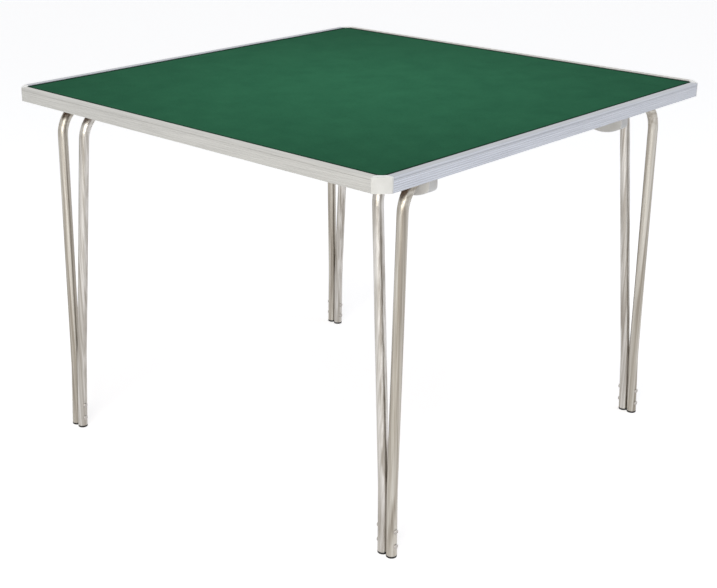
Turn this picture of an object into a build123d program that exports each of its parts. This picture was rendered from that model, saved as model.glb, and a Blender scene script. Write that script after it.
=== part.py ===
from build123d import *
import os
from math import atan2, degrees

# Folding card table: a square cloth-covered top in an aluminium edging, on two leg frames.
# Each frame is a pair of bent tubes that meet at the feet, and folds flat under the top.
# The origin is on the floor under the middle of the top. X runs along the near edge, +Z is up.

# overall sizes
table_side = 915.0
table_height = 698.0

# aluminium edging
rail_height = 25.0
rail_lip = 13.0
rail_wall = 1.6
lip_thickness = 1.4
flange_thickness = 1.6
rail_edge_radius = 2.0
rail_foot_radius = 0.8
shadow_groove_drop = 4.2
shadow_groove_width = 1.3
shadow_groove_depth = 0.8
rib_groove_count = 5
rib_groove_pitch = 3.6
rib_groove_width = 2.0
rib_groove_depth = 0.5
rib_groove_rise = 10.0
lip_edge_radius = 0.6

# moulded corner blocks
corner_arm = 23.0
corner_face_start = 21.0
corner_face_retreat = 14.2
corner_lip_retreat = 24.6
corner_blend_radius = 4.0
corner_foot_radius = 5.0
corner_edge_radius = 1.5

# cloth, skins and core of the top
panel_gap = 0.15
panel_corner_cut = 20.0
cloth_thickness = 0.8
cloth_tuck = 8.0
skin_thickness = 3.0
batten_width = 45.0
hinge_batten_margin = 1.25

# tubes of the leg frames
tube_diameter = 19.0
tube_wall = 1.5
bend_radius = 58.0
frame_shift = 34.2
foot_side_inset = 38.3
knee_height = 125.0
knee_radius = 250.0
knee_lean = 4.5
knee_splay = 5.5
outer_leg_lean = 17.0
inner_leg_lean = 25.0
foot_end_inset = 67.5
foot_tube_gap = 0.2
outer_bar_inset = 65.5
bar_spacing = 61.0

# clamp blocks that hold the two bars of a frame together
clamp_inset = 180.5
clamp_width = 23.0
clamp_wall = 2.9
clamp_gap = 0.05
clamp_board_gap = 0.4
clamp_belly_depth = 42.0
clamp_side_depth = 29.0
clamp_taper = 3.0
clamp_corner_radius = 9.0
clamp_edge_radius = 2.2
clamp_screw_diameter = 5.0
clamp_screw_head_diameter = 9.0
clamp_screw_head_height = 3.5
clamp_screw_recess = 18.0
clamp_screw_end_gap = 2.5

# pivot brackets round the inner bar
pivot_gap = 0.05
bracket_width = 22.0
bracket_half_length = 25.0
bracket_side_gap = 0.5
strap_thickness = 2.0
bracket_screw_offset = 18.5
bracket_screw_diameter = 4.0
bracket_screw_head_diameter = 7.6
bracket_screw_head_height = 2.4
bracket_screw_bite = 12.0

# clips that the outer bar snaps up into
clip_gap = 0.4
clip_to_clamp = 42.0
clip_body_width = 18.0
clip_plate_length = 46.0
clip_half_depth = 15.0
clip_lip_drop = 4.0
clip_mouth_chamfer = 1.5
clip_screw_offset = 16.5
clip_screw_diameter = 3.5
clip_screw_head_diameter = 7.0
clip_screw_head_height = 1.9
clip_screw_bite = 12.0

# screws of the edging
rail_screw_diameter = 3.0
rail_screw_head_diameter = 5.6
rail_screw_head_height = 1.5
rail_screw_bite = 11.0
rail_screw_inset = 8.0
rail_screw_count = 4
rail_screw_end_inset = 82.5
corner_screw_inset = 16.5

# rivets and plugs of the feet
rivet_diameter = 5.0
rivet_head_diameter = 9.5
rivet_head_height = 2.0
rivet_seat_depth = 1.3
rivet_rise = 22.0
rivet_pitch = 28.0
rivet_crown_share = 0.9
glide_height = 4.0
glide_edge_radius = 0.8
plug_length = 16.0
plug_gap = 0.1

# allowances
hole_gap = 0.1
overrun = 5.0
pick_tolerance = 0.05

# levels and places that follow from the sizes
rail_bottom = table_height - rail_height
underside = rail_bottom + flange_thickness
cloth_top = table_height - lip_thickness
skin_top = cloth_top - cloth_thickness
core_top = skin_top - skin_thickness
core_bottom = underside + skin_thickness
panel_side = table_side - 2 * (rail_wall + panel_gap)
panel_half = panel_side / 2
inner_half = panel_half - batten_width
tube_radius = tube_diameter / 2
clamp_radius = tube_radius + clamp_wall
bar_z = underside - clamp_board_gap - clamp_radius
outer_bar_y = table_side / 2 - outer_bar_inset
inner_bar_y = outer_bar_y - bar_spacing
foot_pair_y = table_side / 2 - foot_end_inset
foot_half_x = table_side / 2 - frame_shift - foot_side_inset
knee_half_x = foot_half_x - knee_lean
clamp_x = table_side / 2 - clamp_inset
clip_x = clamp_x - clip_to_clamp
hinge_batten_width = inner_half - inner_bar_y + bracket_half_length + hinge_batten_margin
rail_screw_reach = table_side - 2 * rail_screw_end_inset
rail_screw_pitch = rail_screw_reach / (rail_screw_count - 1)
foot_offset = (tube_diameter + foot_tube_gap) / 2
bracket_x = clamp_x - clamp_width / 2 - bracket_side_gap - bracket_width / 2
bar_headroom = underside - bar_z
rivet_heights = (rivet_rise, rivet_rise + rivet_pitch)
clip_plate_bottom = bar_z + tube_radius + clip_gap

# the hoops: name, place of the bar in Y, of the feet in Y, and of the bar's corners in X
HOOPS = {
    "outer": (outer_bar_y, foot_pair_y + foot_offset, foot_half_x - outer_leg_lean),
    "inner": (inner_bar_y, foot_pair_y - foot_offset, foot_half_x - inner_leg_lean),
}


def save(piece, name):
    """Label a finished piece and write it to its own file."""
    piece.part.label = name
    export_step(piece.part, f"parts/{name}.step")


def turned(piece, angle):
    """The same piece, turned about the upright axis through the table's middle."""
    with BuildPart() as copy:
        add(piece.part, rotation=(0, 0, angle))
    return copy


def save_both_ends(piece, name):
    """A piece at the near side of the table, and its twin at the far side."""
    save(piece, f"near_{name}")
    save(turned(piece, 180), f"far_{name}")


def leg_x(height):
    """Distance of a leg's centre line from the frame's middle, at a height below the knee."""
    return foot_half_x - knee_lean * height / knee_height


def leg_y(hoop, height):
    """How far out a hoop's leg stands in Y, at a height below the knee."""
    return HOOPS[hoop][1] - knee_splay * height / knee_height


def hoop_path(hoop):
    """Foot, knee, leg, bend, bar, bend, leg, knee, foot, a little past the floor at both ends."""
    bar_y, foot_y, corner_x = HOOPS[hoop]
    half = [
        (leg_x(-overrun), -leg_y(hoop, -overrun), -overrun),
        (knee_half_x, knee_splay - foot_y, knee_height),
        (corner_x, -bar_y, bar_z),
    ]
    left = [(frame_shift - x, y, z) for x, y, z in half]
    right = [(frame_shift + x, y, z) for x, y, z in reversed(half)]
    with BuildLine() as path:
        FilletPolyline(*left, *right, radius=(knee_radius, bend_radius, bend_radius, knee_radius))
    return path.line


def rod(hoop, radius):
    """The solid rod of a radius along a hoop's centre line, to cut seats with."""
    path = hoop_path(hoop)
    with BuildPart() as bar:
        with BuildSketch(Plane(origin=path @ 0, z_dir=path % 0)):
            Circle(radius)
        sweep(path=path)
    return bar.part


def panel_outline():
    """Plan of the panel that the edging grips, with its corners cut off."""
    Rectangle(panel_side, panel_side)
    chamfer(vertices(), panel_corner_cut)


# Top panel


def make_skin(bottom, screw_spots):
    """A hardboard skin, with holes where screws pass through it."""
    with BuildPart() as skin:
        with BuildSketch(Plane.XY.offset(bottom)):
            panel_outline()
        extrude(amount=skin_thickness)
        for diameter, spots in screw_spots:
            with Locations(*[(x, y, bottom + skin_thickness) for x, y in spots]):
                Hole(diameter / 2 + hole_gap, depth=skin_thickness + overrun)
    return skin


def make_batten(width, length, x, y, screw_spots):
    """A softwood batten of the core, drilled from below for the screws that bite in it."""
    with BuildPart() as batten:
        with BuildSketch(Plane.XY.offset(core_bottom)):
            panel_outline()
            with Locations((x, y)):
                Rectangle(width, length, mode=Mode.INTERSECT)
        extrude(amount=core_top - core_bottom)
        for diameter, bite, spots in screw_spots:
            inside = [
                (sx, sy, core_bottom)
                for sx, sy in spots
                if abs(sx - x) < width / 2 and abs(sy - y) < length / 2
            ]
            if inside:
                with Locations(*inside):
                    Cylinder(
                        diameter / 2 + hole_gap,
                        bite - skin_thickness + hole_gap,
                        align=(Align.CENTER, Align.CENTER, Align.MIN),
                        mode=Mode.SUBTRACT,
                    )
    return batten


def make_foam():
    """The light foam slab that fills the core between the battens."""
    length = 2 * (inner_half - hinge_batten_width)
    with BuildPart() as foam:
        with BuildSketch(Plane.XY.offset(core_bottom)):
            Rectangle(2 * inner_half, length)
        extrude(amount=core_top - core_bottom)
    return foam


def make_cloth():
    """The baize, stretched over the top skin and tucked under the edging's lip."""
    half = table_side / 2 - rail_lip + cloth_tuck
    corner_cut = panel_corner_cut - (panel_half - half)
    with BuildPart() as cloth:
        with BuildSketch(Plane.XY.offset(skin_top)):
            Rectangle(2 * half, 2 * half)
            chamfer(vertices(), corner_cut)
        extrude(amount=cloth_thickness)
    return cloth


# Edging


def make_rail(screw_spots):
    """The near edging rail: a channel with a top lip, a flange below and a ribbed face."""
    face_y = -table_side / 2
    length = table_side - 2 * corner_arm
    channel_height = rail_height - lip_thickness - flange_thickness
    with BuildPart() as rail:
        with BuildSketch(Plane.YZ.offset(-length / 2)) as profile:
            with Locations((face_y, rail_bottom)):
                Rectangle(rail_lip, rail_height, align=(Align.MIN, Align.MIN))
            fillet(vertices().group_by(Axis.X)[0].sort_by(Axis.Y)[-1], rail_edge_radius)
            fillet(vertices().sort_by(Axis.Y)[0:2].sort_by(Axis.X)[0], rail_foot_radius)
            fillet(vertices().group_by(Axis.Y)[-1].sort_by(Axis.X)[-1], lip_edge_radius)
            with Locations((face_y + rail_wall, underside)):
                Rectangle(
                    rail_lip,
                    channel_height,
                    align=(Align.MIN, Align.MIN),
                    mode=Mode.SUBTRACT,
                )
            with Locations((face_y, table_height - shadow_groove_drop)):
                Rectangle(2 * shadow_groove_depth, shadow_groove_width, mode=Mode.SUBTRACT)
            with Locations((face_y, rail_bottom + rib_groove_rise)):
                with GridLocations(0, rib_groove_pitch, 1, rib_groove_count):
                    Polygon(
                        (rib_groove_depth, 0),
                        (0, rib_groove_width / 2),
                        (-rib_groove_depth, 0),
                        (0, -rib_groove_width / 2),
                        mode=Mode.SUBTRACT,
                    )
        extrude(amount=length)
        with Locations(*[(x, y, rail_bottom) for x, y in screw_spots]):
            Cylinder(
                rail_screw_diameter / 2 + hole_gap,
                flange_thickness + overrun,
                mode=Mode.SUBTRACT,
            )
            Cone(
                rail_screw_head_diameter / 2 + hole_gap,
                rail_screw_diameter / 2 + hole_gap,
                rail_screw_head_height,
                align=(Align.CENTER, Align.CENTER, Align.MIN),
                mode=Mode.SUBTRACT,
            )
    return rail


def make_corner():
    """The near left corner block, with a flattened, gently crowned face."""
    edge = -table_side / 2
    arm = edge + corner_arm
    lip = edge + rail_lip
    start = edge + corner_face_start
    face_crown = edge + corner_face_retreat / 2**0.5
    lip_crown = edge + corner_lip_retreat / 2**0.5
    channel_height = rail_height - lip_thickness - flange_thickness
    screw_place = edge + corner_screw_inset
    with BuildPart() as corner:
        with BuildSketch(Plane.XY.offset(rail_bottom)):
            with BuildLine():
                Polyline((start, edge), (arm, edge), (arm, arm), (edge, arm), (edge, start))
                ThreePointArc((edge, start), (face_crown, face_crown), (start, edge))
            make_face()
            face_ends = vertices().filter_by(lambda v: abs(v.X + v.Y - edge - start) < pick_tolerance)
            fillet(face_ends, corner_blend_radius)
            inner_end = vertices().filter_by(lambda v: abs(v.X + v.Y - 2 * arm) < pick_tolerance)
            fillet(inner_end, corner_foot_radius)
        extrude(amount=rail_height)
        outer_rim = faces().sort_by(Axis.Z)[-1].edges().filter_by(GeomType.CIRCLE)
        outer_rim = outer_rim.filter_by(lambda e: e.center().X + e.center().Y < edge + arm)
        fillet(outer_rim, corner_edge_radius)
        with BuildSketch(Plane.XY.offset(underside)):
            panel_outline()
        extrude(amount=channel_height, mode=Mode.SUBTRACT)
        with BuildSketch(Plane.XY.offset(cloth_top)):
            with BuildLine():
                Polyline((arm, lip), (arm, arm), (lip, arm))
                ThreePointArc((lip, arm), (lip_crown, lip_crown), (arm, lip))
            make_face()
        extrude(amount=lip_thickness, mode=Mode.SUBTRACT)
        with Locations((screw_place, screw_place, rail_bottom)):
            Cylinder(
                rail_screw_diameter / 2 + hole_gap,
                flange_thickness + overrun,
                mode=Mode.SUBTRACT,
            )
            Cone(
                rail_screw_head_diameter / 2 + hole_gap,
                rail_screw_diameter / 2 + hole_gap,
                rail_screw_head_height,
                align=(Align.CENTER, Align.CENTER, Align.MIN),
                mode=Mode.SUBTRACT,
            )
    return corner


def make_countersunk_screws(diameter, head_diameter, head_height, length, places):
    """Countersunk screws that point up, with their heads flush at the given places."""
    with BuildPart() as screws:
        with Locations(*places):
            Cylinder(
                diameter / 2,
                length,
                align=(Align.CENTER, Align.CENTER, Align.MIN),
            )
            Cone(
                head_diameter / 2,
                diameter / 2,
                head_height,
                align=(Align.CENTER, Align.CENTER, Align.MIN),
            )
    return screws


def make_pan_screws(diameter, head_diameter, head_height, length, places):
    """Round-headed screws that point up, with the underside of their heads at the places."""
    with BuildPart() as screws:
        with Locations(*places):
            Cylinder(
                diameter / 2,
                length,
                align=(Align.CENTER, Align.CENTER, Align.MIN),
            )
            Cylinder(
                head_diameter / 2,
                head_height,
                align=(Align.CENTER, Align.CENTER, Align.MAX),
            )
        heads = faces().filter_by(Axis.Z).sort_by(Axis.Z)[0 : len(places)]
        fillet(heads.edges(), head_height / 2)
    return screws


# Leg frames


def make_hoop(hoop):
    """One bent tube of the near frame: two legs and the bar between them."""
    path = hoop_path(hoop)
    with BuildPart() as tube:
        with BuildSketch(Plane(origin=path @ 0, z_dir=path % 0)):
            Circle(tube_radius)
            Circle(tube_radius - tube_wall, mode=Mode.SUBTRACT)
        sweep(path=path)
        split(bisect_by=Plane.XY.offset(glide_height), keep=Keep.TOP)
        for height in rivet_heights:
            for side in (-1, 1):
                with Locations((frame_shift + side * leg_x(height), -leg_y(hoop, height), height)):
                    Cylinder(
                        rivet_diameter / 2 + hole_gap,
                        2 * tube_diameter,
                        rotation=(90, 0, 0),
                        mode=Mode.SUBTRACT,
                    )
    return tube


def make_foot(hoop, side):
    """A black plug in the foot of one tube, with the glide that stands on the floor."""
    x = frame_shift + side * foot_half_x
    y = -HOOPS[hoop][1]
    top_x = frame_shift + side * leg_x(plug_length)
    top_y = -leg_y(hoop, plug_length)
    axis = Vector(top_x - x, top_y - y, plug_length)
    with BuildPart() as foot:
        with BuildSketch(Plane(origin=(x, y, 0), z_dir=axis)):
            Circle(tube_radius - tube_wall - plug_gap)
        extrude(amount=plug_length)
        split(bisect_by=Plane.XY.offset(glide_height), keep=Keep.TOP)
        glide_x = frame_shift + side * leg_x(glide_height)
        glide_y = -leg_y(hoop, glide_height)
        with Locations((glide_x, glide_y, 0)):
            Cylinder(
                tube_radius,
                glide_height,
                align=(Align.CENTER, Align.CENTER, Align.MIN),
            )
        fillet(foot.faces().sort_by(Axis.Z)[0].edges(), glide_edge_radius)
    return foot


def make_rivets():
    """Four rivets, two through the pair of tubes at each foot of the near frame."""
    spots = []
    for height in rivet_heights:
        outer_face = -leg_y("outer", height) - tube_radius
        inner_face = -leg_y("inner", height) + tube_radius
        for side in (-1, 1):
            spots.append((frame_shift + side * leg_x(height), height, outer_face, inner_face))
    with BuildPart() as rivets:
        for x, height, outer_face, inner_face in spots:
            for face, outward in ((outer_face, -1), (inner_face, 1)):
                seat = face - outward * rivet_seat_depth
                tip = face + outward * rivet_head_height
                head_length = rivet_seat_depth + rivet_head_height
                with Locations((x, (seat + tip) / 2, height)):
                    Cylinder(rivet_head_diameter / 2, head_length, rotation=(90, 0, 0))
                crowns = [
                    crown
                    for crown in faces().filter_by(Axis.Y)
                    if (crown.center() - Vector(x, tip, height)).length < pick_tolerance
                ]
                rims = [edge for crown in crowns for edge in crown.edges()]
                fillet(rims, rivet_crown_share * rivet_head_height)
        add(rod("outer", tube_radius + hole_gap / 2), mode=Mode.SUBTRACT)
        add(rod("inner", tube_radius + hole_gap / 2), mode=Mode.SUBTRACT)
        for x, height, outer_face, inner_face in spots:
            with Locations((x, (outer_face + inner_face) / 2, height)):
                Cylinder(
                    rivet_diameter / 2,
                    inner_face - outer_face + rivet_head_height,
                    rotation=(90, 0, 0),
                )
    return rivets


# Clamp blocks, pivot brackets and clips, drawn in the YZ plane of the near side


def make_clamp(x):
    """The lower half of a clamp block, deep and rounded below the two bars."""
    near = -inner_bar_y + clamp_radius
    far = -outer_bar_y - clamp_radius
    low = bar_z - clamp_side_depth
    middle = (near - clamp_taper + far) / 2
    screw_y = -(inner_bar_y + outer_bar_y) / 2
    with BuildPart() as clamp:
        with BuildSketch(Plane.YZ.offset(x - clamp_width / 2)):
            with BuildLine():
                Polyline(
                    (near - clamp_taper, low),
                    (near, bar_z),
                    (far, bar_z),
                    (far, low),
                )
                ThreePointArc(
                    (far, low),
                    (middle, bar_z - clamp_belly_depth),
                    (near - clamp_taper, low),
                )
            make_face()
            fillet(vertices().group_by(Axis.Y)[0], clamp_corner_radius)
        extrude(amount=clamp_width)
        rim = faces().filter_by(Axis.X).edges()
        fillet(rim.filter_by(lambda e: e.center().Z < bar_z - clamp_edge_radius), clamp_edge_radius)
        add(rod("outer", tube_radius + clamp_gap), mode=Mode.SUBTRACT)
        add(rod("inner", tube_radius + clamp_gap), mode=Mode.SUBTRACT)
        with Locations((x, screw_y, bar_z - clamp_belly_depth)):
            Cylinder(
                clamp_screw_diameter / 2 + hole_gap,
                2 * (clamp_belly_depth + overrun),
                mode=Mode.SUBTRACT,
            )
            Cylinder(
                clamp_screw_head_diameter / 2 + hole_gap,
                2 * clamp_screw_recess,
                mode=Mode.SUBTRACT,
            )
    return clamp


def make_clamp_cap(x):
    """The upper half of a clamp block, rounded over both bars and flat between them."""
    screw_y = -(inner_bar_y + outer_bar_y) / 2
    with BuildPart() as cap:
        with BuildSketch(Plane.YZ.offset(x - clamp_width / 2)):
            with Locations((screw_y, bar_z)):
                SlotCenterToCenter(bar_spacing, 2 * clamp_radius)
                Rectangle(
                    bar_spacing + 2 * clamp_radius,
                    clamp_radius,
                    align=(Align.CENTER, Align.MIN),
                    mode=Mode.INTERSECT,
                )
        extrude(amount=clamp_width)
        add(rod("outer", tube_radius + clamp_gap), mode=Mode.SUBTRACT)
        add(rod("inner", tube_radius + clamp_gap), mode=Mode.SUBTRACT)
        with Locations((x, screw_y, bar_z)):
            Cylinder(
                clamp_screw_diameter / 2 + hole_gap,
                2 * (clamp_radius + overrun),
                mode=Mode.SUBTRACT,
            )
    return cap


def make_pivot_base(x):
    """The nylon seat above the inner bar, screwed up under the table."""
    with BuildPart() as base:
        with BuildSketch(Plane.YZ.offset(x - bracket_width / 2)):
            with Locations((-inner_bar_y, bar_z)):
                Rectangle(
                    2 * bracket_half_length,
                    bar_headroom,
                    align=(Align.CENTER, Align.MIN),
                )
                Circle(tube_radius + pivot_gap, mode=Mode.SUBTRACT)
        extrude(amount=bracket_width)
        with Locations(*[(x, y, bar_z) for y in bracket_screw_rows()]):
            Cylinder(
                bracket_screw_diameter / 2 + hole_gap,
                2 * (bar_headroom + overrun),
                mode=Mode.SUBTRACT,
            )
    return base


def make_pivot_strap(x):
    """The steel strap that passes under the inner bar and holds it in its seat."""
    with BuildPart() as strap:
        with BuildSketch(Plane.YZ.offset(x - bracket_width / 2)):
            with Locations((-inner_bar_y, bar_z)):
                Circle(tube_radius + pivot_gap + strap_thickness)
                Rectangle(
                    2 * bracket_half_length,
                    strap_thickness,
                    align=(Align.CENTER, Align.MAX),
                )
                Rectangle(
                    2 * bracket_half_length,
                    2 * tube_diameter,
                    align=(Align.CENTER, Align.MIN),
                    mode=Mode.SUBTRACT,
                )
                Circle(tube_radius + pivot_gap, mode=Mode.SUBTRACT)
        extrude(amount=bracket_width)
        with Locations(*[(x, y, bar_z) for y in bracket_screw_rows()]):
            Cylinder(
                bracket_screw_diameter / 2 + hole_gap,
                2 * (strap_thickness + overrun),
                mode=Mode.SUBTRACT,
            )
    return strap


def bracket_screw_rows():
    """The two lines across the table on which a pivot bracket is screwed."""
    return (-inner_bar_y - bracket_screw_offset, -inner_bar_y + bracket_screw_offset)


def make_clip(x):
    """A nylon clip with two lips beside the outer bar, on a plate under the table."""
    with BuildPart() as clip:
        with BuildSketch(Plane.YZ.offset(x - clip_body_width / 2)):
            with Locations((-outer_bar_y, bar_z)):
                Rectangle(
                    2 * clip_half_depth,
                    bar_headroom,
                    align=(Align.CENTER, Align.MIN),
                )
                Rectangle(
                    2 * clip_half_depth,
                    clip_lip_drop,
                    align=(Align.CENTER, Align.MAX),
                )
                Circle(tube_radius + clip_gap, mode=Mode.SUBTRACT)
                Rectangle(
                    2 * (tube_radius + clip_gap),
                    2 * clip_lip_drop,
                    align=(Align.CENTER, Align.MAX),
                    mode=Mode.SUBTRACT,
                )
            chamfer(vertices().group_by(Axis.Y)[0], clip_mouth_chamfer)
        extrude(amount=clip_body_width)
        with BuildSketch(Plane.XY.offset(underside)):
            with Locations((x, -outer_bar_y)):
                RectangleRounded(clip_plate_length, 2 * clip_half_depth, clip_mouth_chamfer)
        extrude(amount=-(bar_headroom - tube_radius - clip_gap))
        with Locations(*[(sx, -outer_bar_y, clip_plate_bottom) for sx in clip_screw_columns(x)]):
            Cylinder(
                clip_screw_diameter / 2 + hole_gap,
                2 * bar_headroom,
                mode=Mode.SUBTRACT,
            )
            Cone(
                clip_screw_head_diameter / 2 + hole_gap,
                clip_screw_diameter / 2 + hole_gap,
                clip_screw_head_height,
                align=(Align.CENTER, Align.CENTER, Align.MIN),
                mode=Mode.SUBTRACT,
            )
    return clip


def clip_screw_columns(x):
    """The two places along the bar at which a clip's plate is screwed."""
    return (x - clip_screw_offset, x + clip_screw_offset)


# Where the screws stand, seen from above

rail_line = -table_side / 2 + rail_screw_inset
first_screw = -rail_screw_reach / 2
near_rail_spots = [(first_screw + i * rail_screw_pitch, rail_line) for i in range(rail_screw_count)]
rail_spots = []
for x, y in near_rail_spots:
    rail_spots += [(x, y), (-x, -y), (y, -x), (-y, x)]
corner_place = table_side / 2 - corner_screw_inset
corner_spots = [(sx * corner_place, sy * corner_place) for sx in (-1, 1) for sy in (-1, 1)]
bracket_spots = []
clip_spots = []
for side in (-1, 1):
    for end in (-1, 1):
        for y in bracket_screw_rows():
            bracket_spots.append((side * bracket_x, end * y))
        for x in clip_screw_columns(side * clip_x):
            clip_spots.append((x, end * outer_bar_y))
skin_holes = (
    (rail_screw_diameter, rail_spots + corner_spots),
    (bracket_screw_diameter, bracket_spots),
    (clip_screw_diameter, clip_spots),
)
batten_holes = (
    (rail_screw_diameter, rail_screw_bite, rail_spots + corner_spots),
    (bracket_screw_diameter, bracket_screw_bite, bracket_spots),
    (clip_screw_diameter, clip_screw_bite, clip_spots),
)

os.makedirs("parts", exist_ok=True)

# the panel
save(make_cloth(), "baize_cover")
save(make_skin(core_top, ()), "top_skin")
save(make_skin(underside, skin_holes), "bottom_skin")
save(make_foam(), "foam_core")
edge_batten_y = -(panel_half - batten_width / 2)
near_batten = make_batten(panel_side, batten_width, 0, edge_batten_y, batten_holes)
save_both_ends(near_batten, "edge_batten")
side_batten = make_batten(batten_width, 2 * inner_half, edge_batten_y, 0, batten_holes)
save(side_batten, "left_edge_batten")
save(turned(side_batten, 180), "right_edge_batten")
hinge_batten_y = -(inner_half - hinge_batten_width / 2)
hinge_batten = make_batten(2 * inner_half, hinge_batten_width, 0, hinge_batten_y, batten_holes)
save_both_ends(hinge_batten, "hinge_batten")

# the edging
near_rail = make_rail(near_rail_spots)
for name, angle in (("near", 0), ("right", 90), ("far", 180), ("left", 270)):
    save(turned(near_rail, angle), f"{name}_edge_rail")
corner_block = make_corner()
for name, angle in (("near_left", 0), ("near_right", 90), ("far_right", 180), ("far_left", 270)):
    save(turned(corner_block, angle), f"{name}_corner_block")
rail_screws = make_countersunk_screws(
    rail_screw_diameter,
    rail_screw_head_diameter,
    rail_screw_head_height,
    flange_thickness + rail_screw_bite,
    [(x, y, rail_bottom) for x, y in rail_spots + corner_spots],
)
save(rail_screws, "edging_screws")

# the fittings under the table, which the leg frames turn and snap in
for name, side in (("left", -1), ("right", 1)):
    save_both_ends(make_pivot_base(side * bracket_x), f"{name}_pivot_base")
    save_both_ends(make_pivot_strap(side * bracket_x), f"{name}_pivot_strap")
    save_both_ends(make_clip(side * clip_x), f"{name}_bar_clip")
bracket_screws = make_pan_screws(
    bracket_screw_diameter,
    bracket_screw_head_diameter,
    bracket_screw_head_height,
    strap_thickness + bar_headroom + bracket_screw_bite,
    [(x, y, bar_z - strap_thickness) for x, y in bracket_spots],
)
save(bracket_screws, "pivot_screws")
clip_screws = make_countersunk_screws(
    clip_screw_diameter,
    clip_screw_head_diameter,
    clip_screw_head_height,
    underside - clip_plate_bottom + clip_screw_bite,
    [(x, y, clip_plate_bottom) for x, y in clip_spots],
)
save(clip_screws, "clip_screws")

# the leg frames
for hoop in HOOPS:
    save_both_ends(make_hoop(hoop), f"{hoop}_hoop")
    for name, side in (("left", -1), ("right", 1)):
        save_both_ends(make_foot(hoop, side), f"{name}_{hoop}_foot")
save_both_ends(make_rivets(), "foot_rivets")
for name, side in (("left", -1), ("right", 1)):
    save_both_ends(make_clamp(side * clamp_x), f"{name}_clamp_block")
    save_both_ends(make_clamp_cap(side * clamp_x), f"{name}_clamp_cap")
clamp_screw_seat = bar_z - clamp_belly_depth + clamp_screw_recess
clamp_screws = make_pan_screws(
    clamp_screw_diameter,
    clamp_screw_head_diameter,
    clamp_screw_head_height,
    bar_z + clamp_radius - clamp_screw_end_gap - clamp_screw_seat,
    [(side * clamp_x, -(inner_bar_y + outer_bar_y) / 2, clamp_screw_seat) for side in (-1, 1)],
)
save_both_ends(clamp_screws, "clamp_screws")

inner_lean = degrees(atan2(leg_y("inner", knee_height) - inner_bar_y, bar_z - knee_height))
print("bar height", round(bar_z, 2), "lean of the inner tubes above the knee", round(inner_lean, 2))
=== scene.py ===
import math

import bmesh
import bpy
from mathutils import Matrix, Vector


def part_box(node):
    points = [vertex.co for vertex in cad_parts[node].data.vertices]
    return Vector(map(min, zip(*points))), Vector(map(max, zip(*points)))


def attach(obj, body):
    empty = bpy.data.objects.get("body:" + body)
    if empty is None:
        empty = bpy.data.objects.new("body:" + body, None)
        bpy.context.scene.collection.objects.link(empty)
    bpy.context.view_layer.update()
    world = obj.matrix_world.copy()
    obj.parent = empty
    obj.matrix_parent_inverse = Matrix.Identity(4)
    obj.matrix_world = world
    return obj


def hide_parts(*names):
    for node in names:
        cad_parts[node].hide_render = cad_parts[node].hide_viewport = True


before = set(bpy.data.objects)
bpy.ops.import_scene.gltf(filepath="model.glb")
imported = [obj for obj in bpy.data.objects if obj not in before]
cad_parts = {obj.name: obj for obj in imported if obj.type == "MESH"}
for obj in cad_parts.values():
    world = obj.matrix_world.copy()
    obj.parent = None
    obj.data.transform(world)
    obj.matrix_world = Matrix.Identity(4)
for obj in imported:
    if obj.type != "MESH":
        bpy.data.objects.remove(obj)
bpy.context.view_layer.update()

# The top panel.
# Two skins of brown hardboard are glued over softwood battens and a slab of white bead foam.
# Only the lower skin shows, from under the table.
MM = 0.001


def linear(code):
    """A colour written as an sRGB hex value, turned to the linear values that nodes take."""
    shares = [int(code[i : i + 2], 16) / 255 for i in (0, 2, 4)]
    return [s / 12.92 if s <= 0.04045 else ((s + 0.055) / 1.055) ** 2.4 for s in shares] + [1.0]


def add_node(tree, kind, inputs=(), stops=(), **settings):
    """Add one node, set its settings and a ramp's stops, and link or set each of its inputs."""
    node = tree.nodes.new(kind)
    for name, value in settings.items():
        setattr(node, name, value)
    for place, (position, code) in enumerate(stops):
        elements = node.color_ramp.elements
        element = elements[place] if place < len(elements) else elements.new(position)
        element.position = position
        element.color = linear(code)
    for name, value in dict(inputs).items():
        if isinstance(value, bpy.types.NodeSocket):
            tree.links.new(value, node.inputs[name])
        else:
            node.inputs[name].default_value = value
    return node


def new_material(name, **shader):
    """A material with its shader's sockets set, and the tree, shader and place to add to."""
    material = bpy.data.materials.new(name)
    material.use_nodes = True
    tree = material.node_tree
    surface = tree.nodes["Principled BSDF"]
    for key, value in shader.items():
        surface.inputs[key.replace("_", " ")].default_value = value
    place = add_node(tree, "ShaderNodeTexCoord").outputs["Object"]
    return material, tree, surface, place


def finish_node(name, material):
    """Give a frame node its material in every slot."""
    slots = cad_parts[name].data.materials
    slots.clear()
    slots.append(material)


# Hardboard: wood fibre pressed hot with its own resin. The eye sees a smooth, hard brown face
# with cloudy patches and short pale and dark fibres.
fibre_clump = 14 * MM
fibre_length = 3.0 * MM
fibre_grain = 0.8 * MM
grain_depth = 0.15 * MM
hardboard, tree, surface, place = new_material("Pressed_hardboard", Roughness=0.5)
clumps = add_node(
    tree,
    "ShaderNodeTexNoise",
    {"Vector": place, "Scale": 1 / fibre_clump, "Detail": 5.0},
)
tone = add_node(
    tree,
    "ShaderNodeValToRGB",
    {"Fac": clumps.outputs["Fac"]},
    stops=((0.3, "6A4A31"), (0.52, "7A583C"), (0.72, "8A6748")),
)
bent = add_node(
    tree,
    "ShaderNodeTexNoise",
    {"Vector": place, "Scale": 1 / fibre_length, "Detail": 2.0, "Distortion": 2.5},
)
fibres = add_node(
    tree,
    "ShaderNodeValToRGB",
    {"Fac": bent.outputs["Fac"]},
    stops=((0.34, "8C7A6A"), (0.46, "FFFFFF"), (0.58, "FFFFFF"), (0.68, "C9BBAA")),
)
mixed = add_node(
    tree,
    "ShaderNodeMixRGB",
    {"Fac": 0.5, "Color1": tone.outputs["Color"], "Color2": fibres.outputs["Color"]},
    blend_type="MULTIPLY",
)
tree.links.new(mixed.outputs["Color"], surface.inputs["Base Color"])
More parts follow.
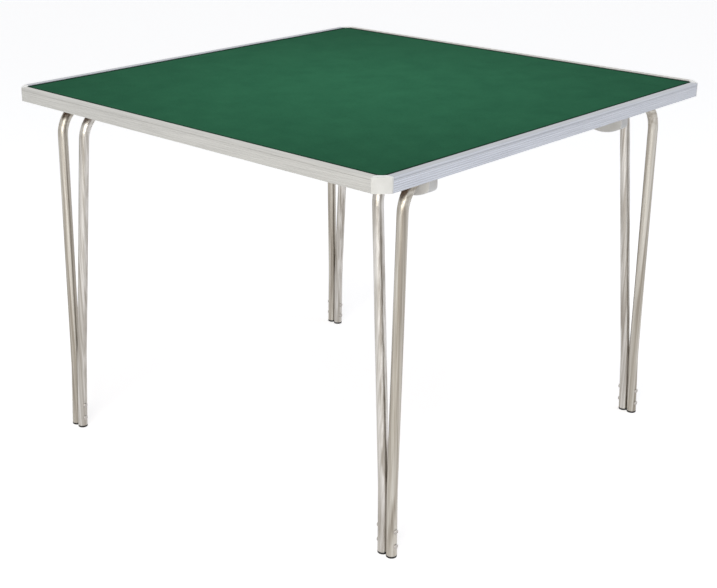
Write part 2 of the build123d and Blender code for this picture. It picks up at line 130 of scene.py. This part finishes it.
grain = add_node(
    tree,
    "ShaderNodeTexNoise",
    {"Vector": place, "Scale": 1 / fibre_grain, "Detail": 3.0},
)
sheen_patches = add_node(
    tree,
    "ShaderNodeMapRange",
    {
        "Value": clumps.outputs["Fac"],
        "From Min": 0.3,
        "From Max": 0.7,
        "To Min": 0.42,
        "To Max": 0.6,
    },
)
tree.links.new(sheen_patches.outputs[0], surface.inputs["Roughness"])
bump = add_node(
    tree,
    "ShaderNodeBump",
    {"Height": grain.outputs["Fac"], "Strength": 0.2, "Distance": grain_depth},
)
tree.links.new(bump.outputs["Normal"], surface.inputs["Normal"])

# Sawn pine: yellow wood with darker summer growth drawn out along each batten.
growth_ring = 4 * MM
softwood, tree, surface, place = new_material("Sawn_pine", Roughness=0.7)
rings = add_node(
    tree,
    "ShaderNodeTexNoise",
    {"Vector": place, "Scale": 1 / growth_ring, "Detail": 4.0},
)
tone = add_node(
    tree,
    "ShaderNodeValToRGB",
    {"Fac": rings.outputs["Fac"]},
    stops=((0.35, "C79A63"), (0.65, "E3C08C")),
)
tree.links.new(tone.outputs["Color"], surface.inputs["Base Color"])

# Bead foam: white polystyrene beads of a few millimetres, pressed together. Each bead is
# coloured lighter at its middle and darker towards its rim, a painted shade between the beads.
bead = 3 * MM
foam, tree, surface, place = new_material("Bead_foam", Roughness=0.8)
beads = add_node(tree, "ShaderNodeTexVoronoi", {"Vector": place, "Scale": 1 / bead})
# Painted shade: each bead darkens towards its rim.
tone = add_node(
    tree,
    "ShaderNodeValToRGB",
    {"Fac": beads.outputs["Distance"]},
    stops=((0.0, "F4F4F0"), (0.8, "DEDEDA")),
)
tree.links.new(tone.outputs["Color"], surface.inputs["Base Color"])

finish_node("top_skin", hardboard)
finish_node("bottom_skin", hardboard)
finish_node("foam_core", foam)
for name in ("near_edge", "far_edge", "left_edge", "right_edge", "near_hinge", "far_hinge"):
    finish_node(f"{name}_batten", softwood)

# The cloth.
# Green baize, a felted wool cloth, is stretched flat over the top skin and tucked under the
# edging's lip all round. Along the lip's edge it is painted darker, a painted shadow of the lip.
cloth_low, cloth_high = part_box("baize_cover")
cloth_half = cloth_high.x
cloth_cells = 120
cloth_corner_cut = 16.75 * MM
bpy.ops.object.select_all(action="DESELECT")
bpy.ops.mesh.primitive_grid_add(
    x_subdivisions=cloth_cells,
    y_subdivisions=cloth_cells,
    size=2 * cloth_half,
)
cloth = bpy.context.object
cloth.name = "Baize"
mesh = bmesh.new()
mesh.from_mesh(cloth.data)
for side_x in (-1, 1):
    for side_y in (-1, 1):
        cut_middle = cloth_half - cloth_corner_cut / 2
        bmesh.ops.bisect_plane(
            mesh,
            geom=mesh.verts[:] + mesh.edges[:] + mesh.faces[:],
            plane_co=(side_x * cut_middle, side_y * cut_middle, 0),
            plane_no=(side_x, side_y, 0),
            clear_outer=True,
        )
for vertex in mesh.verts:
    vertex.co.z = cloth_high.z
mesh.to_mesh(cloth.data)
mesh.free()
thickness = cloth.modifiers.new("Thickness", "SOLIDIFY")
thickness.thickness = cloth_high.z - cloth_low.z
thickness.offset = -1
bpy.ops.object.modifier_apply(modifier="Thickness")

# Baize: woven wool, milled and napped until the weave is hidden. The eye sees a flat, deep
# green with a soft bloom at low angles, faint cloudy patches where the nap lies differently,
# and short hairs close to.
nap_cloud = 45 * MM
nap_hair = 2.0 * MM
nap_depth = 0.3 * MM
# The lip's edge lies at the tuck line, and the painted shadow of the lip beside it deepens
# over a few millimetres.
tuck_line = 444.5 * MM
tuck_shade = 9.5 * MM
tuck_dark = 5 * MM
baize, tree, surface, place = new_material(
    "Napped_wool_baize",
    Roughness=0.95,
    Sheen_Weight=0.03,
    Sheen_Roughness=0.5,
    Specular_IOR_Level=0.05,
)
surface.inputs["Sheen Tint"].default_value = linear("7FB89A")
clouds = add_node(
    tree,
    "ShaderNodeTexNoise",
    {"Vector": place, "Scale": 1 / nap_cloud, "Detail": 4.0},
)
tone = add_node(
    tree,
    "ShaderNodeValToRGB",
    {"Fac": clouds.outputs["Fac"]},
    stops=((0.3, "21553C"), (0.7, "265C41")),
)
hairs = add_node(
    tree,
    "ShaderNodeTexNoise",
    {"Vector": place, "Scale": 1 / nap_hair, "Detail": 4.0, "Distortion": 1.6},
)
hair_tone = add_node(
    tree,
    "ShaderNodeValToRGB",
    {"Fac": hairs.outputs["Fac"]},
    stops=((0.32, "DADADA"), (0.52, "F2F2F2"), (0.7, "FFFFFF")),
)
napped = add_node(
    tree,
    "ShaderNodeMixRGB",
    {"Fac": 1.0, "Color1": tone.outputs["Color"], "Color2": hair_tone.outputs["Color"]},
    blend_type="MULTIPLY",
)
across = add_node(tree, "ShaderNodeSeparateXYZ", {"Vector": place})
reach_x = add_node(tree, "ShaderNodeMath", {0: across.outputs["X"]}, operation="ABSOLUTE")
reach_y = add_node(tree, "ShaderNodeMath", {0: across.outputs["Y"]}, operation="ABSOLUTE")
reach = add_node(
    tree,
    "ShaderNodeMath",
    {0: reach_x.outputs[0], 1: reach_y.outputs[0]},
    operation="MAXIMUM",
)
# Painted shadow of the lip: the cloth turns a dark green-black within a few millimetres of its
# edge.
painted_lip_shadow = add_node(
    tree,
    "ShaderNodeMapRange",
    {
        "Value": reach.outputs[0],
        "From Min": tuck_line - tuck_shade,
        "From Max": tuck_line - tuck_dark,
    },
)
lip_shadowed_cloth = add_node(
    tree,
    "ShaderNodeMixRGB",
    {"Fac": painted_lip_shadow.outputs[0], "Color1": napped.outputs["Color"], "Color2": linear("0C1E15")},
)
tree.links.new(lip_shadowed_cloth.outputs["Color"], surface.inputs["Base Color"])
bump = add_node(
    tree,
    "ShaderNodeBump",
    {"Height": hairs.outputs["Fac"], "Strength": 0.35, "Distance": nap_depth},
)
tree.links.new(bump.outputs["Normal"], surface.inputs["Normal"])
cloth.data.materials.append(baize)
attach(cloth, "table_top")
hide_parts("baize_cover")

# The edging.
# Four lengths of extruded aluminium channel grip the panel, with fine ribs along the face.
# White moulded blocks join them at the corners, and screws go up through the flange.

# Satin anodised aluminium: pushed through a die, etched and anodised. The eye sees a soft grey
# metal with hair lines along each rail and slow changes of gloss. The lines of a real die are
# finer than a picture shows, so these are drawn coarser. The rails along x are painted a shade
# darker and bluer and the side rails a shade warmer, painted light of a cool lamp on one side
# and a warm lamp on the other.
die_line = 1.0 * MM
die_stretch = 90
gloss_patch = 60 * MM
edging = {}
# Each direction's tones carry painted light: cooler and darker along x, warmer along y.
for direction, stretch, shades in (
    ("x", (1 / die_stretch, 1, 1), ("B4B6BB", "BCBEC3", "C3C5C9")),
    ("y", (1, 1 / die_stretch, 1), ("C0BFBB", "C8C7C3", "D0CFCB")),
):
    metal, tree, surface, place = new_material(f"Anodised_aluminium_{direction}", Metallic=1.0)
    along = add_node(tree, "ShaderNodeMapping", {"Vector": place, "Scale": stretch})
    lines = add_node(
        tree,
        "ShaderNodeTexNoise",
        {"Vector": along.outputs["Vector"], "Scale": 1 / die_line, "Detail": 2.0},
    )
    tone = add_node(
        tree,
        "ShaderNodeValToRGB",
        {"Fac": lines.outputs["Fac"]},
        stops=tuple(zip((0.32, 0.5, 0.68), shades)),
    )
    tree.links.new(tone.outputs["Color"], surface.inputs["Base Color"])
    patches = add_node(
        tree,
        "ShaderNodeTexNoise",
        {"Vector": along.outputs["Vector"], "Scale": die_stretch / gloss_patch, "Detail": 1.0},
    )
    gloss = add_node(
        tree,
        "ShaderNodeMapRange",
        {
            "Value": patches.outputs["Fac"],
            "From Min": 0.3,
            "From Max": 0.7,
            "To Min": 0.46,
            "To Max": 0.54,
        },
    )
    tree.links.new(gloss.outputs[0], surface.inputs["Roughness"])
    edging[direction] = metal
for name, direction in (("near", "x"), ("far", "x"), ("left", "y"), ("right", "y")):
    finish_node(f"{name}_edge_rail", edging[direction])

# White moulded plastic: ABS from a spark-eroded mould. The eye sees a clean off-white with a
# low sheen, a fine grit and a slightly glossier skin in places.
mould_grit = 0.6 * MM
grit_depth = 0.06 * MM
mould_patch = 18 * MM
white_plastic, tree, surface, place = new_material("White_moulded_ABS", Roughness=0.38)
patches = add_node(
    tree,
    "ShaderNodeTexNoise",
    {"Vector": place, "Scale": 1 / mould_patch, "Detail": 3.0},
)
tone = add_node(
    tree,
    "ShaderNodeValToRGB",
    {"Fac": patches.outputs["Fac"]},
    stops=((0.3, "E6E6E2"), (0.7, "EFEFEC")),
)
tree.links.new(tone.outputs["Color"], surface.inputs["Base Color"])
gloss = add_node(
    tree,
    "ShaderNodeMapRange",
    {
        "Value": patches.outputs["Fac"],
        "From Min": 0.3,
        "From Max": 0.7,
        "To Min": 0.32,
        "To Max": 0.46,
    },
)
tree.links.new(gloss.outputs[0], surface.inputs["Roughness"])
grit = add_node(
    tree,
    "ShaderNodeTexNoise",
    {"Vector": place, "Scale": 1 / mould_grit, "Detail": 2.0},
)
bump = add_node(
    tree,
    "ShaderNodeBump",
    {"Height": grit.outputs["Fac"], "Strength": 0.15, "Distance": grit_depth},
)
tree.links.new(bump.outputs["Normal"], surface.inputs["Normal"])
for corner in ("near_left", "near_right", "far_right", "far_left"):
    finish_node(f"{corner}_corner_block", white_plastic)

# Zinc plated steel: pressed or headed steel in a bright bath. The eye sees a bluish silver
# with cloudy passivation and a faint straw tint in places.
zinc_cloud = 4 * MM
zinc, tree, surface, place = new_material("Zinc_plated_steel", Metallic=1.0, Roughness=0.32)
clouds = add_node(
    tree,
    "ShaderNodeTexNoise",
    {"Vector": place, "Scale": 1 / zinc_cloud, "Detail": 4.0},
)
tone = add_node(
    tree,
    "ShaderNodeValToRGB",
    {"Fac": clouds.outputs["Fac"]},
    stops=((0.3, "ADB1B7"), (0.5, "C4C7CA"), (0.72, "CCC9BE")),
)
tree.links.new(tone.outputs["Color"], surface.inputs["Base Color"])
gloss = add_node(
    tree,
    "ShaderNodeMapRange",
    {
        "Value": clouds.outputs["Fac"],
        "From Min": 0.3,
        "From Max": 0.7,
        "To Min": 0.26,
        "To Max": 0.42,
    },
)
tree.links.new(gloss.outputs[0], surface.inputs["Roughness"])


# Corners of the frame's loose triangles that lie nearer than this are one corner.
weld_distance = 0.01 * MM


def screw_places(node):
    """Where a frame node's screws stand, as (x, y, lowest z, highest z) of each one."""
    mesh = bmesh.new()
    mesh.from_mesh(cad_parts[node].data)
    bmesh.ops.remove_doubles(mesh, verts=mesh.verts, dist=weld_distance)
    waiting = set(mesh.verts)
    places = []
    while waiting:
        screw = [min(waiting, key=lambda v: v.index)]
        waiting.discard(screw[0])
        for vertex in screw:
            for edge in vertex.link_edges:
                other = edge.other_vert(vertex)
                if other in waiting:
                    waiting.discard(other)
                    screw.append(other)
        low = [min(v.co[axis] for v in screw) for axis in range(3)]
        high = [max(v.co[axis] for v in screw) for axis in range(3)]
        places.append(((low[0] + high[0]) / 2, (low[1] + high[1]) / 2, low[2], high[2]))
    mesh.free()
    return places


# A face whose normal rises more than end_face_rise is a screw's upper end, and the edges in the
# lowest share of the head are its rim.
screw_sides = 32
end_face_rise = 0.9
rim_search_share = 0.1
smooth_angle = math.radians(35)

# The rim's rounding is a share of the head's height. The cross is a share of the head's radius
# across and of its height deep, and its inner end is narrower by the taper.
rim_share_flat = 1 / 8
rim_share_round = 1 / 1.6
recess_reach_share = 0.55
recess_width_share = 0.2
recess_depth_share = 0.6
recess_taper = 0.6

# Each screw has stopped at an angle of its own, this many degrees on from the last one.
turn_step = 37
quarter_turn = 90


def drive_screws(name, node, body, head_radius, head_height, shank_radius, flat_head):
    """Cross-recessed screws, heads down, in the places of a frame node that they replace."""
    spots = screw_places(node)
    length = spots[0][3] - spots[0][2]
    bpy.ops.object.select_all(action="DESELECT")
    bpy.ops.mesh.primitive_cylinder_add(
        vertices=screw_sides,
        radius=head_radius,
        depth=head_height,
        location=(0, 0, head_height / 2),
    )
    screw = bpy.context.object
    bpy.ops.object.transform_apply(location=True)
    bpy.ops.object.mode_set(mode="EDIT")
    edit = bmesh.from_edit_mesh(screw.data)
    for face in edit.faces:
        face.select_set(face.normal.z > end_face_rise)
    if flat_head:
        neck = shank_radius / head_radius
        bpy.ops.transform.resize(value=(neck, neck, 1))
    else:
        bpy.ops.mesh.inset(thickness=head_radius - shank_radius)
    bpy.ops.mesh.extrude_region_move(TRANSFORM_OT_translate={"value": (0, 0, length - head_height)})
    bpy.ops.mesh.select_all(action="DESELECT")
    edit = bmesh.from_edit_mesh(screw.data)
    for edge in edit.edges:
        edge.select_set(all(v.co.z < head_height * rim_search_share for v in edge.verts))
    rim = head_height * (rim_share_flat if flat_head else rim_share_round)
    bpy.ops.mesh.bevel(offset=rim, segments=2 if flat_head else 4)
    bpy.ops.object.mode_set(mode="OBJECT")

    # The cross is two blades, narrower at their inner end, cut out of the head. Each starts as a
    # cube that reaches 1 each way, so its scale is its reach.
    blade_reach = head_radius * recess_reach_share
    blade_width = head_radius * recess_width_share
    blade_depth = head_height * recess_depth_share
    for reach_x, reach_y in ((blade_reach, blade_width), (blade_width, blade_reach)):
        bpy.ops.object.select_all(action="DESELECT")
        bpy.ops.mesh.primitive_cube_add(size=2)
        blade = bpy.context.object
        blade.scale = (reach_x, reach_y, blade_depth)
        bpy.ops.object.transform_apply(scale=True)
        for vertex in blade.data.vertices:
            if vertex.co.z > 0:
                vertex.co.x *= recess_taper
                vertex.co.y *= recess_taper
        cut = screw.modifiers.new("Recess", "BOOLEAN")
        cut.object = blade
        cut.solver = "EXACT"
        bpy.context.view_layer.objects.active = screw
        bpy.ops.object.modifier_apply(modifier="Recess")
        bpy.data.objects.remove(blade)

    copies = []
    for number, (x, y, low, high) in enumerate(spots):
        copy = bpy.data.objects.new(f"{name}_{number}", screw.data.copy())
        bpy.context.collection.objects.link(copy)
        turn = Matrix.Rotation(math.radians(number * turn_step % quarter_turn), 4, "Z")
        copy.data.transform(Matrix.Translation((x, y, low)) @ turn)
        copies.append(copy)
    bpy.data.objects.remove(screw)
    bpy.ops.object.select_all(action="DESELECT")
    for copy in copies:
        copy.select_set(True)
    bpy.context.view_layer.objects.active = copies[0]
    bpy.ops.object.join()
    screws = bpy.context.object
    screws.name = name
    screws.data.materials.append(zinc)
    bpy.ops.object.shade_smooth_by_angle(angle=smooth_angle)
    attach(screws, body)
    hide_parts(node)


drive_screws(
    "Edging_screws",
    "edging_screws",
    "table_top",
    head_radius=2.8 * MM,
    head_height=1.5 * MM,
    shank_radius=1.5 * MM,
    flat_head=True,
)

# The fittings under the table.
# Each inner bar turns in two white plastic bases, held there by bent steel straps, and each
# outer bar snaps up between the lips of two plastic clips.
drive_screws(
    "Bracket_screws",
    "pivot_screws",
    "table_top",
    head_radius=3.8 * MM,
    head_height=2.4 * MM,
    shank_radius=2.0 * MM,
    flat_head=False,
)
drive_screws(
    "Clip_screws",
    "clip_screws",
    "table_top",
    head_radius=3.5 * MM,
    head_height=1.9 * MM,
    shank_radius=1.75 * MM,
    flat_head=True,
)
for end in ("near", "far"):
    for side in ("left", "right"):
        finish_node(f"{end}_{side}_pivot_base", white_plastic)
        finish_node(f"{end}_{side}_bar_clip", white_plastic)
        finish_node(f"{end}_{side}_pivot_strap", zinc)

# The leg frames.
# Each frame is two hoops of bent aluminium tube, riveted together at the feet and held apart
# by two white clamp blocks at the top. Black rubber feet plug the tube ends.

# Polished aluminium tube: drawn, mopped and lacquered. The eye sees a bright metal with long
# streaks along the legs and along the bars, which meet in the bends. The broad streaks are partly
# mop marks and partly a painted reflection, and the warm tone is partly the metal's own and partly
# a painted reflection of a beige floor. The outer hoops' tube is painted a shade darker, a painted
# reflection as well.
mop_and_reflection_streak = 4.5 * MM
draw_line = 1.2 * MM
streak_stretch = 200
bend_foot = 600 * MM
bend_top = 656 * MM
tube_metals = {}
for hoop, shades in (
    ("outer", ("958E84", "ADA79D", "C3BFB7")),
    ("inner", ("9F9991", "B8B4AE", "CFCCC8")),
):
    tube_metal, tree, surface, place = new_material(f"Polished_aluminium_{hoop}_tube", Metallic=1.0)
    height = add_node(tree, "ShaderNodeSeparateXYZ", {"Vector": place})
    bent = add_node(
        tree,
        "ShaderNodeMapRange",
        {"Value": height.outputs["Z"], "From Min": bend_foot, "From Max": bend_top},
        interpolation_type="SMOOTHSTEP",
    )
    streaks = {}
    for wide in (mop_and_reflection_streak, draw_line):
        runs = []
        for stretch in ((1, 1, 1 / streak_stretch), (1 / streak_stretch, 1, 1)):
            along = add_node(tree, "ShaderNodeMapping", {"Vector": place, "Scale": stretch})
            runs.append(
                add_node(
                    tree,
                    "ShaderNodeTexNoise",
                    {"Vector": along.outputs["Vector"], "Scale": 1 / wide, "Detail": 2.0},
                )
            )
        streaks[wide] = add_node(
            tree,
            "ShaderNodeMix",
            {0: bent.outputs[0], 2: runs[0].outputs["Fac"], 3: runs[1].outputs["Fac"]},
        )
    # Painted reflection: the broad streaks and warm tones stand in for a warm room mirrored in the
    # tube, as well as mop marks.
    tone = add_node(
        tree,
        "ShaderNodeValToRGB",
        {"Fac": streaks[mop_and_reflection_streak].outputs[0]},
        stops=tuple(zip((0.34, 0.48, 0.62), shades)),
    )
    fine = add_node(
        tree,
        "ShaderNodeValToRGB",
        {"Fac": streaks[draw_line].outputs[0]},
        stops=((0.3, "F0EFED"), (0.7, "FFFFFF")),
    )
    mixed = add_node(
        tree,
        "ShaderNodeMixRGB",
        {"Fac": 1.0, "Color1": tone.outputs["Color"], "Color2": fine.outputs["Color"]},
        blend_type="MULTIPLY",
    )
    tree.links.new(mixed.outputs["Color"], surface.inputs["Base Color"])
    gloss = add_node(
        tree,
        "ShaderNodeMapRange",
        {
            "Value": streaks[draw_line].outputs[0],
            "From Min": 0.3,
            "From Max": 0.7,
            "To Min": 0.27,
            "To Max": 0.35,
        },
    )
    tree.links.new(gloss.outputs[0], surface.inputs["Roughness"])
    tube_metals[hoop] = tube_metal

# Rivets: soft aluminium, headed cold, duller than the tube.
rivet_mark = 3 * MM
rivet_metal, tree, surface, place = new_material(
    "Headed_aluminium_rivet",
    Metallic=1.0,
    Roughness=0.4,
)
clouds = add_node(
    tree,
    "ShaderNodeTexNoise",
    {"Vector": place, "Scale": 1 / rivet_mark, "Detail": 3.0},
)
tone = add_node(
    tree,
    "ShaderNodeValToRGB",
    {"Fac": clouds.outputs["Fac"]},
    stops=((0.3, "A5A19D"), (0.7, "BDB8B3")),
)
tree.links.new(tone.outputs["Color"], surface.inputs["Base Color"])

# Black rubber: moulded, matt, with pale dust rubbed into it.
rubber_dust = 2 * MM
rubber, tree, surface, place = new_material("Black_moulded_rubber", Roughness=0.7)
dust = add_node(
    tree,
    "ShaderNodeTexNoise",
    {"Vector": place, "Scale": 1 / rubber_dust, "Detail": 4.0},
)
tone = add_node(
    tree,
    "ShaderNodeValToRGB",
    {"Fac": dust.outputs["Fac"]},
    stops=((0.4, "161616"), (0.8, "32312F")),
)
tree.links.new(tone.outputs["Color"], surface.inputs["Base Color"])

for end in ("near", "far"):
    finish_node(f"{end}_foot_rivets", rivet_metal)
    drive_screws(
        f"{end.capitalize()}_clamp_screws",
        f"{end}_clamp_screws",
        f"{end}_legs",
        head_radius=4.5 * MM,
        head_height=3.5 * MM,
        shank_radius=2.5 * MM,
        flat_head=False,
    )
    for hoop in ("outer", "inner"):
        finish_node(f"{end}_{hoop}_hoop", tube_metals[hoop])
    for side in ("left", "right"):
        finish_node(f"{end}_{side}_clamp_block", white_plastic)
        finish_node(f"{end}_{side}_clamp_cap", white_plastic)
        finish_node(f"{end}_{side}_outer_foot", rubber)
        finish_node(f"{end}_{side}_inner_foot", rubber)

# The studio.
# A white floor that runs out of sight, four soft lamps and the photograph's camera. The floor
# and the world are lifted to white where the camera or a reflection sees them.
floor_size = 30.0
floor_lift = 0.68
fill_strength = 0.28
bpy.ops.object.select_all(action="DESELECT")
bpy.ops.mesh.primitive_plane_add(size=floor_size, location=(0, 0, 0))
floor = bpy.context.object
floor.name = "Studio_floor"
paint, floor_tree, paint_surface, _ = new_material("Studio_floor_paint", Roughness=0.9)
paint_surface.inputs["Base Color"].default_value = linear("F5F5F5")
paint_surface.inputs["Emission Color"].default_value = linear("FFFFFF")
floor.data.materials.append(paint)
world = bpy.data.worlds.new("Studio")
bpy.context.scene.world = world
world.use_nodes = True
world.node_tree.nodes.clear()
seen = {}
for tree in (floor_tree, world.node_tree):
    rays = add_node(tree, "ShaderNodeLightPath")
    either = add_node(
        tree,
        "ShaderNodeMath",
        {0: rays.outputs["Is Camera Ray"], 1: rays.outputs["Is Glossy Ray"]},
        operation="MAXIMUM",
    )
    seen[tree] = add_node(
        tree,
        "ShaderNodeMath",
        {0: either.outputs[0], 1: rays.outputs["Is Transmission Ray"]},
        operation="MAXIMUM",
    )
lift = add_node(
    floor_tree,
    "ShaderNodeMath",
    {0: seen[floor_tree].outputs[0], 1: floor_lift},
    operation="MULTIPLY",
)
floor_tree.links.new(lift.outputs[0], paint_surface.inputs["Emission Strength"])
tree = world.node_tree
fill_light = add_node(
    tree,
    "ShaderNodeBackground",
    {"Color": linear("F4F5FA"), "Strength": fill_strength},
)
backdrop = add_node(tree, "ShaderNodeBackground", {"Color": linear("FFFFFF"), "Strength": 1.0})
shown = add_node(
    tree,
    "ShaderNodeMixShader",
    {0: seen[tree].outputs[0], 1: fill_light.outputs[0], 2: backdrop.outputs[0]},
)
add_node(tree, "ShaderNodeOutputWorld", {"Surface": shown.outputs[0]})

# Each lamp: name, place, side, power in watts, colour and whether metal mirrors it. The top
# lamp isn't mirrored, because it would flare on the rails' lips.
lamps = (
    ("Key_lamp", (1.8, -2.8, 1.9), 1.6, 13, "D8E4FF", True),
    ("Left_lamp", (-2.9, -1.2, 1.4), 1.6, 29, "FFFBF2", True),
    ("Front_lamp", (-2.4, -2.2, 1.3), 1.2, 14, "FFFFFF", True),
    ("Top_lamp", (0.0, 0.0, 1.5), 0.6, 7.4, "FFFFFF", False),
)
lamp_aim = Vector((0, 0, 0.45))
for name, position, size, power, colour, mirrored in lamps:
    lamp = bpy.data.lights.new(name, "AREA")
    lamp.shape = "SQUARE"
    lamp.size = size
    lamp.energy = power
    lamp.color = linear(colour)[:3]
    holder = bpy.data.objects.new(name, lamp)
    bpy.context.collection.objects.link(holder)
    holder.location = position
    holder.rotation_euler = (lamp_aim - holder.location).to_track_quat("-Z", "Y").to_euler()
    holder.visible_camera = False
    holder.visible_glossy = mirrored

# The camera's place was worked out from the top's four corners in the photograph.
photo_width = 717
photo_height = 588
sensor_millimetres = 36
focal_pixels = 1288.76
axis_pixel = (310.38, 333.33)
camera_azimuth = math.radians(-45.761)
camera_elevation = math.radians(22.915)
camera_roll = math.radians(-0.233)
camera_distance = 1.311541
camera_target = Vector((-0.928035, -0.770716, 0.698))
camera = bpy.data.cameras.new("Photo_camera")
camera.sensor_width = sensor_millimetres
camera.lens = focal_pixels * camera.sensor_width / photo_width
camera.shift_x = (photo_width / 2 - axis_pixel[0]) / photo_width
camera.shift_y = (axis_pixel[1] - photo_height / 2) / photo_width
photographer = bpy.data.objects.new("Photo_camera", camera)
bpy.context.collection.objects.link(photographer)
back = Vector((
    math.sin(camera_azimuth) * math.cos(camera_elevation),
    -math.cos(camera_azimuth) * math.cos(camera_elevation),
    math.sin(camera_elevation),
))
photographer.location = camera_target + back * camera_distance
level = (-back).to_track_quat("-Z", "Y").to_matrix()
photographer.rotation_euler = (level @ Matrix.Rotation(camera_roll, 3, "Z")).to_euler()
bpy.context.scene.camera = photographer
bpy.context.scene.view_settings.view_transform = "Standard"
